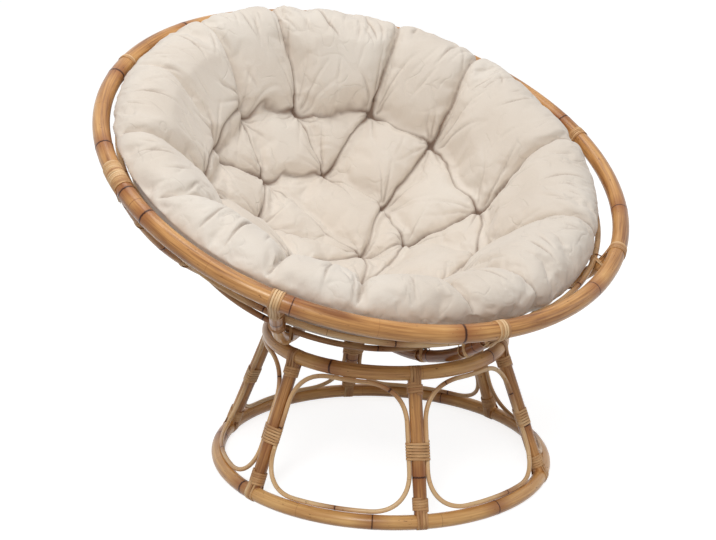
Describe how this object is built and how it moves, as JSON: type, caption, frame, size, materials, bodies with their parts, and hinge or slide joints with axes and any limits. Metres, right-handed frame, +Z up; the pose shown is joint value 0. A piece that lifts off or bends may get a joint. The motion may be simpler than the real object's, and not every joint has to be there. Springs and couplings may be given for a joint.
{
  "type": "papasan chair",
  "caption": "Round rattan bowl chair: a tilted pole-framed bowl resting loose on a round splayed base, with a thick tufted cotton pad.",
  "frame": {"origin": "on the floor, at the centre of the whole chair's box, straight below the centre of the bowl's rim", "axes": "+Z up, -Y towards the low front side of the bowl, +X to the sitter's left"},
  "size_m": [1.1046, 1.0158, 0.8785],
  "materials": {
    "honey_rattan": "satin",
    "pale_rattan": "satin",
    "peel": "matte",
    "cotton": "matte"
  },
  "bodies": {
    "base": {"base_bottom_ring": "honey_rattan", "base_top_ring": "honey_rattan", "leg_1": "honey_rattan", "leg_2": "honey_rattan", "leg_3": "honey_rattan", "leg_4": "honey_rattan", "leg_5": "honey_rattan", "leg_6": "honey_rattan", "window_loop_1": "pale_rattan", "window_loop_2": "pale_rattan", "window_loop_3": "pale_rattan", "window_loop_4": "pale_rattan", "window_loop_5": "pale_rattan", "window_loop_6": "pale_rattan", "leg_lashing_mid_1": "peel", "leg_lashing_mid_2": "peel", "leg_lashing_mid_3": "peel", "leg_lashing_mid_4": "peel", "leg_lashing_mid_5": "peel", "leg_lashing_mid_6": "peel", "leg_lashing_top_1": "peel", "leg_lashing_top_2": "peel", "leg_lashing_top_3": "peel", "leg_lashing_top_4": "peel", "leg_lashing_top_5": "peel", "leg_lashing_top_6": "peel", "leg_lashing_bottom_1": "peel", "leg_lashing_bottom_2": "peel", "leg_lashing_bottom_3": "peel", "leg_lashing_bottom_4": "peel", "leg_lashing_bottom_5": "peel", "leg_lashing_bottom_6": "peel"},
    "bowl": {"bowl_rim": "honey_rattan", "bowl_bottom_ring": "honey_rattan", "bowl_rib_1": "honey_rattan", "bowl_rib_2": "honey_rattan", "bowl_rib_3": "honey_rattan", "bowl_rib_4": "honey_rattan", "bowl_rib_5": "honey_rattan", "bowl_rib_6": "honey_rattan", "bowl_rib_7": "honey_rattan", "bowl_rib_8": "honey_rattan", "bowl_hoop_upper": "pale_rattan", "bowl_hoop_middle": "pale_rattan", "bowl_hoop_lower": "pale_rattan", "rim_lashing_1": "peel", "rim_lashing_2": "peel", "rim_lashing_3": "peel", "rim_lashing_4": "peel", "rim_lashing_5": "peel", "rim_lashing_6": "peel", "rim_lashing_7": "peel", "rim_lashing_8": "peel"},
    "cushion": {"seat_cushion": "cotton"}
  },
  "joints": [
    {"name": "bowl_tilt", "type": "hinge", "parent": "base", "child": "bowl", "pos_m": [0, -0.0974, 0.83559], "axis": [1, 0, 0], "range_deg": [-58, 10]},
    {"name": "cushion_lift", "type": "slide", "parent": "bowl", "child": "cushion", "axis": [0, -0.4051, 0.9143], "range_m": [0, 0.45]}
  ]
}
